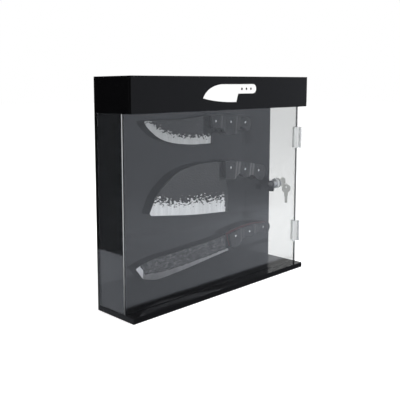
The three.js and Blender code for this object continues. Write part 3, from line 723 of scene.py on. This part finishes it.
def forge_marks():
    """Hammered black forge scale that breaks off raggedly where the bevel is ground."""
    tree, given, made = group_tree(
        "forge_marks",
        {"Ground": 0.0, "Flat": GREY, "Steel": GREY, "Metal": 0.35, "Ragged": 16.0, "Rim": 2.0,
         "Painted highlight": 1.0, "Texture": 1.0, "Mark size": 160.0, "Depth": 0.3 * MM},
        {"Base Color": "Color", "Roughness": "Float", "Metallic": "Float", "Normal": "Vector"})
    marks_stretch, streaks_stretch, lines_stretch = (0.5, 1, 1), (80, 300, 300), (170, 170, 10)
    chip_edge, burnt_tone = 0.15, 0.08
    pit_tones, streak_range, streak_tones = (1.9, 0.3), (0.38, 0.62), (0.0, 2.3)
    line_range, line_tones = (0.3, 0.7), (0.8, 1.0)
    flat_roughness, ground_roughness = 0.42, 0.3
    along = object_place(tree, marks_stretch)

    # Ragged edge: a coarse noise shifts the distance from the grind line
    chips = maths(tree, "SUBTRACT", noise(tree, along, given["Mark size"], 3, 0.6), 0.5)
    shifted = maths(tree, "ADD", times(tree, chips, given["Ragged"]), given["Ground"])
    bare = ranged(tree, shifted, -chip_edge, chip_edge, curve="SMOOTHSTEP")

    # Dark rim of burnt scale round each chip
    rim = ranged(tree, shifted, times(tree, given["Rim"], -1.0), 0.0)
    burnt = ranged(tree, rim, 0.0, 1.0, 1.0, burnt_tone)

    # Pits and streaks in the scale on the flat
    pit_size = times(tree, given["Mark size"], 1.6)
    pits = add_node(tree, "TexVoronoi", {"Vector": along, "Scale": pit_size, "Smoothness": 0.6},
                    feature="SMOOTH_F1").outputs["Distance"]
    stripes = noise(tree, object_place(tree, streaks_stretch), 1.0)
    streaks = ranged(tree, stripes, *streak_range, *streak_tones)
    streaky = times(tree, ranged(tree, pits, 0.0, 0.7, *pit_tones), streaks)
    shade = times(tree, mixed(tree, given["Texture"], 1.0, streaky, "FLOAT"), burnt)
    scale = mixed(tree, 1.0, given["Flat"], shade, blend="MULTIPLY")

    # Upright grinding lines on the bevel, times a painted highlight
    grain = noise(tree, object_place(tree, lines_stretch), 1.0)
    lines_and_highlight = times(tree, ranged(tree, grain, *line_range, *line_tones), given["Painted highlight"])
    steel = mixed(tree, 1.0, given["Steel"], lines_and_highlight, blend="MULTIPLY")

    relief = times(tree, pits, maths(tree, "SUBTRACT", 1.0, bare))
    bump = add_node(tree, "Bump", {"Strength": 1.0, "Distance": given["Depth"], "Height": relief})
    fill(tree, made, {"Base Color": mixed(tree, bare, scale, steel),
                      "Roughness": ranged(tree, bare, 0.0, 1.0, flat_roughness, ground_roughness),
                      "Metallic": times(tree, bare, given["Metal"]),
                      "Normal": bump.outputs["Normal"]})
    return tree


def blade_steel(knife, sizes):
    """Forge scale, painted shade at the heel, and a painted highlight on the bevel at the handle or the
    point.
    """
    def own(key):
        return getattr(sizes, f"{knife}_{key}")

    flat = own("flat")
    material, _ = new_material(f"{knife}_blade_steel", flat, 0.4,
                               {"Specular IOR Level": sizes.blade_gloss})
    tree = material.node_tree
    guard, spine, blade_length, _ = blade_frame(knife)
    place = axes_of(tree, object_place(tree))
    # Painted shade: the flats turn to the heel colour near the handle, from the spine down to the shade's
    # bottom
    shade_start, blur = guard - own("heel"), 1.5 * MM
    shade_bottom, low_blur = spine - sizes.heel_drop, 3 * MM
    heel = times(tree,
                 ranged(tree, place["X"], shade_start - blur, shade_start + blur, curve="SMOOTHSTEP"),
                 ranged(tree, place["Z"], shade_bottom - low_blur, shade_bottom + low_blur, curve="SMOOTHSTEP"))
    # Painted highlight on the bevel: brighter towards the handle, and brighter still on a clipped point
    rise = ranged(tree, place["X"], guard - blade_length, guard, 1.0, own("rise"))
    ground, point = (add_node(tree, "Attribute", attribute_name=name).outputs["Fac"]
                     for name in ("ground", "point"))
    through_group(tree, forge_marks, {
        "Ground": ground, "Flat": mixed(tree, heel, (*flat, 1), (*sizes.heel, 1)),
        "Steel": (*own("ground"), 1), "Ragged": own("ragged"), "Rim": own("rim"),
        "Painted highlight": ranged(tree, point, 0.0, 1.0, rise, sizes.tip), "Texture": own("texture"),
        "Mark size": own("marks"), "Depth": sizes.hammer_depth})
    return material


class KNIFECASE_OT_blades(bpy.types.Operator):
    """Model the three blades with their ground bevels and hammered flats"""

    bl_idname = "knifecase.blades"
    bl_label = "Blades"

    def execute(self, context):
        sizes = context.scene.knife_case_knives
        for knife in KNIVES:
            node = f"{knife}_knife_blade"
            finished(f"{node}_ground", shaped_blade(knife, sizes), blade_steel(knife, sizes),
                     f"{knife}_knife", [node], crease=20)
        return {"FINISHED"}


def fluted(bm, centres, outer, inwards, polish, sizes):
    """Hollows a flute across a scale's outer face midway between each two rivets.

    Each point keeps how strong the painted sheen on it is: most on a flute's flanks and not on the flat.
    """
    layer = bm.verts.layers.float.new("polish")
    half = sizes.flute_width / 2
    flutes = [((b - a).normalized(), (a + b) / 2) for a, b in zip(centres, centres[1:])]
    cuts = 4
    for along, middle in flutes:
        for step in range(-cuts, cuts + 1):
            cut_across(bm, middle + along * half * (step / cuts), along)
    for v in bm.verts:
        away = min(abs((v.co - middle).dot(along)) for along, middle in flutes) / half
        if abs(v.co.y - outer) < 5 * MERGE and away < 1:
            v.co.y += inwards * sizes.flute_depth * (0.5 + 0.5 * math.cos(math.pi * away))
            v[layer] = polish * (1 - abs(2 * away - 1))


class KNIFECASE_OT_handles(bpy.types.Operator):
    """Model the rounded handle scales, the red liners and the domed rivets"""

    bl_idname = "knifecase.handles"
    bl_label = "Handles"

    def execute(self, context):
        sizes = context.scene.knife_case_knives
        black, shader = handled("handle_black", sizes.handle, 0.36, tone=4, smear=0.35, scale=45,
                                depth=0.25)
        tree = black.node_tree
        # Painted sheen: the handle's colour turns to the flute colour on the flutes' flanks
        polish = add_node(tree, "Attribute", attribute_name="polish").outputs["Fac"]
        plain = shader.inputs["Base Color"].links[0].from_socket
        fill(tree, shader, {"Base Color": mixed(tree, polish, plain, (*sizes.flute, 1))})
        red = handled("liner_red", sizes.liner, 0.5, tone=1.4, smear=0.3, scale=200, depth=0.2)[0]
        steel = metal("rivet_steel", sizes.rivet, 0.22)
        for knife in KNIVES:
            rivets = [f"{knife}_knife_rivet_{number}" for number in RIVETS]
            for side in ("front", "back"):
                node = f"{knife}_knife_{side}_scale"
                finished(f"{node}_rounded", self.fluted_scale(node, side, knife, rivets, sizes), black,
                         f"{knife}_knife", [node], crease=40)
            for node in rivets:
                finished(f"{node}_domed", self.domed_rivet(node, sizes), steel, f"{knife}_knife",
                         [node], crease=30)
        for side in ("front", "back"):
            softened(f"bottom_knife_{side}_liner", red, "bottom_knife", sizes.liner_edge)
        return {"FINISHED"}

    def fluted_scale(self, node, side, knife, rivets, sizes):
        """A handle scale with its flutes, and its outer edge rounded except round the rivets."""
        centres = [centre_of(rivet) for rivet in rivets]
        low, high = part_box(node)
        rivet_room = 4 * MM
        outer, inwards = (low.y, 1) if side == "front" else (high.y, -1)
        bm = copied(node)
        fluted(bm, centres, outer, inwards, getattr(sizes, f"{knife}_polish"), sizes)
        rim = []
        for edge in sharp_edges(bm):
            at = edge.verts[0].co
            if (all(abs(v.co.y - outer) < 1.5 * sizes.flute_depth for v in edge.verts)
                    and all(math.hypot(at.x - c.x, at.z - c.z) > rivet_room for c in centres)):
                rim.append(edge)
        round_edges(bm, rim, sizes.scale_round, segments=5)
        return bm

    def domed_rivet(self, node, sizes):
        """A rivet with domed heads and a shallow dimple in each."""
        low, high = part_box(node)
        radius = (high.x - low.x) / 2
        sides = 40
        bm = bmesh.new()
        turn = Matrix.Translation((low + high) / 2) @ Matrix.Rotation(math.pi / 2, 4, "X")
        bmesh.ops.create_cone(bm, cap_ends=True, segments=sides, radius1=radius, radius2=radius,
                              depth=high.y - low.y, matrix=turn)
        round_edges(bm, sharp_edges(bm), sizes.rivet_dome, segments=3)
        for cap in [f for f in bm.faces if abs(f.normal.y) > SAME_WAY and len(f.verts) == sides]:
            for width, drop in ((sizes.rivet_rim, 0), (sizes.rivet_slope, sizes.rivet_dimple)):
                bmesh.ops.inset_region(bm, faces=[cap], thickness=width, depth=-drop)
        return bm


class KNIFECASE_OT_magnets(bpy.types.Operator):
    """Finish the magnet bars that hold the knives off the back panel"""

    bl_idname = "knifecase.magnets"
    bl_label = "Magnet bars"

    def execute(self, context):
        sizes = context.scene.knife_case_sheets
        coat = handled("magnet_coat", sizes.magnet, 0.6, tone=2, smear=0.3, scale=120, depth=0.3)[0]
        for knife in KNIVES:
            softened(f"{knife}_magnet_bar", coat, "case", sizes.magnet_edge, segments=3)
        return {"FINISHED"}


# Stage

CARD_TINT = (0.93, 0.98, 1.08)
RIGHT, BACK, UP = (1, 0, 0), (0, 1, 0), (0, 0, 1)

# Cards: size, place, facing, light before and after a fade along X, the X at which the fade starts and
# ends, and the width of the soft border. A grey card's lights are times the front card's light.
CARDS = {
    "dark_left_card": ((0.7, 0.9), (-0.48, 0.29, 0.2), RIGHT, 0.0, 0.0, (0.0, 1.0), 0.17),
    "grey_front_card": ((5.0, 1.4), (0.6, -0.9, 0.701), BACK, 1.18, 1.05, (0.5, 1.3), 0.0),
    "grey_near_card": ((6.0, 1.08), (0.6, -0.9, 0.0012), UP, 1.36, 0.98, (0.3, 0.9), 0.19),
    "grey_floor_card": ((6.0, 7.0), (0.6, 2.6, 0.001), UP, 1.34, 1.58, (0.1, 0.6), 0.0),
    # A dark strip of floor just in front of the base: a painted shadow that shows only in reflections
    "floor_shade_card": ((0.7, 0.022), (0.05, -0.06, 0.0015), UP, 0.25, 0.25, (0.0, 1.0), 0.0),
}

# Soft lamps: size, place and power
LAMPS = {
    "front_soft_lamp": ((1.6, 1.2), (0.9, -1.8, 1.7), 31),
    "high_soft_lamp": ((1.5, 1.5), (-0.2, -0.2, 2.4), 14),
}
LAMPS_AIM = (0, 0, 0.2)


def board(name, size, material, place=(0, 0, 0), facing=UP):
    """A flat rectangle of the stage."""
    bm = bmesh.new()
    bmesh.ops.create_grid(bm, x_segments=1, y_segments=1, size=0.5)
    bmesh.ops.scale(bm, vec=(*size, 1), verts=bm.verts[:])
    flat = shape_in_scene(name, bm, (material,))
    flat.location = place
    flat.rotation_euler = Vector(facing).to_track_quat("Z", "Y").to_euler()
    return flat


def card(name, size, place, facing, light, far_light, fade, border):
    """A card that shows only in reflections, with what CARDS gives for it."""
    material = bpy.data.materials.new(name)
    material.use_nodes = True
    tree = material.node_tree
    at = axes_of(tree, add_node(tree, "NewGeometry").outputs["Position"])
    level = ranged(tree, at["X"], *fade, light, far_light)
    glow = add_node(tree, "Emission", {"Color": (*CARD_TINT, 1), "Strength": level})
    depth = add_node(tree, "LightPath").outputs["Glossy Depth"]
    seen = inside_border(tree, depth, size, border) if border else depth
    show(tree, seen, add_node(tree, "BsdfTransparent").outputs["BSDF"], glow.outputs["Emission"])
    sheet = board(name, size, material, place, facing)
    sheet.visible_camera = False
    sheet.visible_diffuse = False
    sheet.visible_shadow = False


def inside_border(tree, depth, size, border):
    """1 on the card's middle and 0 at its rim, for rays that came by a reflection."""
    at = axes_of(tree, object_place(tree))
    level = depth
    for axis, side in zip("XY", size):
        out = add_node(tree, "Math", {0: at[axis]}, operation="ABSOLUTE").outputs[0]
        near = ranged(tree, out, side / 2, side / 2 - border, curve="SMOOTHSTEP")
        level = maths(tree, "MULTIPLY", near, level, clamp=True)
    return level


def soft_lamp(name, size, place, power):
    lamp = bpy.data.lights.new(name, "AREA")
    lamp.shape = "RECTANGLE"
    lamp.size, lamp.size_y = size
    lamp.energy = power
    holder = in_scene(name, lamp)
    holder.location = place
    holder.rotation_euler = (Vector(LAMPS_AIM) - Vector(place)).to_track_quat("-Z", "Y").to_euler()
    holder.visible_glossy = False
    holder.visible_transmission = False


def seen_by_eye(tree):
    """1 for camera, glossy and transmission rays."""
    path = add_node(tree, "LightPath").outputs
    first = maths(tree, "MAXIMUM", path["Is Camera Ray"], path["Is Glossy Ray"])
    return maths(tree, "MAXIMUM", first, path["Is Transmission Ray"])


class KNIFECASE_OT_stage(bpy.types.Operator):
    """Set the pale floor, the surround, the lamps, the grey and dark cards and the camera"""

    bl_idname = "knifecase.stage"
    bl_label = "Stage"

    def execute(self, context):
        sizes = context.scene.knife_case_stage
        self.add_camera(context, sizes)
        self.add_floor(sizes)
        self.add_surround(context, sizes)
        for name, facts in LAMPS.items():
            soft_lamp(name, *facts)
        for name, (size, place, facing, light, far_light, *rest) in CARDS.items():
            level = sizes.front_card if name.startswith("grey") else 1.0
            card(name, size, place, facing, light * level, far_light * level, *rest)
        context.scene.view_settings.view_transform = "Standard"
        return {"FINISHED"}

    def add_camera(self, context, sizes):
        heading, drop = sizes.camera_heading, sizes.camera_drop
        level = math.cos(drop)
        ahead = Vector((math.sin(heading) * level, math.cos(heading) * level, -math.sin(drop)))
        data = bpy.data.cameras.new("camera")
        data.sensor_width = 36
        data.lens = sizes.focal_pixels * data.sensor_width / IMAGE_SIZE
        data.shift_x = (IMAGE_SIZE / 2 - sizes.centre_pixel[0]) / IMAGE_SIZE
        data.shift_y = (sizes.centre_pixel[1] - IMAGE_SIZE / 2) / IMAGE_SIZE
        camera = in_scene("camera", data)
        aim = ahead.to_track_quat("-Z", "Y").to_matrix().to_4x4()
        roll = Matrix.Rotation(sizes.camera_roll, 4, "Z")
        camera.matrix_world = Matrix.Translation(sizes.camera_place) @ (aim @ roll)
        context.scene.camera = camera

    def add_floor(self, sizes):
        """A wide pale floor that shows white to the eye."""
        material, shader = new_material("floor", sizes.floor, 0.9, {
            "Specular IOR Level": 0.0, "Emission Color": WHITE})
        tree = material.node_tree
        glow = times(tree, seen_by_eye(tree), sizes.floor_glow)
        fill(tree, shader, {"Emission Strength": glow})
        board("floor", (24, 24), material)

    def add_surround(self, context, sizes):
        """A surround that is white to the eye and lights the object less."""
        world = bpy.data.worlds.new("surround")
        world.use_nodes = True
        context.scene.world = world
        tree = world.node_tree
        level = ranged(tree, seen_by_eye(tree), 0.0, 1.0, sizes.surround, 1.0)
        fill(tree, tree.nodes["Background"], {"Strength": level, "Color": WHITE})


class KNIFECASE_PT_panel(bpy.types.Panel):
    """Builds the case piece by piece"""

    bl_idname = "KNIFECASE_PT_panel"
    bl_label = "Knife display case"
    bl_space_type = "VIEW_3D"
    bl_region_type = "UI"
    bl_category = "Knife case"

    def draw(self, context):
        for operator in OPERATORS:
            self.layout.operator(operator.bl_idname)
        for key, group in GROUPS.items():
            box = self.layout.box()
            for name in group.__annotations__:
                box.prop(getattr(context.scene, key), name)


GROUPS = {
    "knife_case_sheets": KnifeCaseSheets,
    "knife_case_knives": KnifeCaseKnives,
    "knife_case_lock": KnifeCaseLock,
    "knife_case_stage": KnifeCaseStage,
}
OPERATORS = (KNIFECASE_OT_sheets, KNIFECASE_OT_header_figure, KNIFECASE_OT_hinges, KNIFECASE_OT_lock,
             KNIFECASE_OT_keys, KNIFECASE_OT_blades, KNIFECASE_OT_handles, KNIFECASE_OT_magnets,
             KNIFECASE_OT_stage)


def register():
    for item in (*GROUPS.values(), *OPERATORS, KNIFECASE_PT_panel):
        bpy.utils.register_class(item)
    for name, group in GROUPS.items():
        setattr(bpy.types.Scene, name, bpy.props.PointerProperty(type=group))


def unregister():
    for name in GROUPS:
        delattr(bpy.types.Scene, name)
    for item in reversed((*GROUPS.values(), *OPERATORS, KNIFECASE_PT_panel)):
        bpy.utils.unregister_class(item)


def main():
    register()
    bpy.ops.knifecase.sheets()
    bpy.ops.knifecase.header_figure()
    bpy.ops.knifecase.hinges()
    bpy.ops.knifecase.lock()
    bpy.ops.knifecase.keys()
    bpy.ops.knifecase.blades()
    bpy.ops.knifecase.handles()
    bpy.ops.knifecase.magnets()
    bpy.ops.knifecase.stage()


if __name__ == "__main__":
    main()
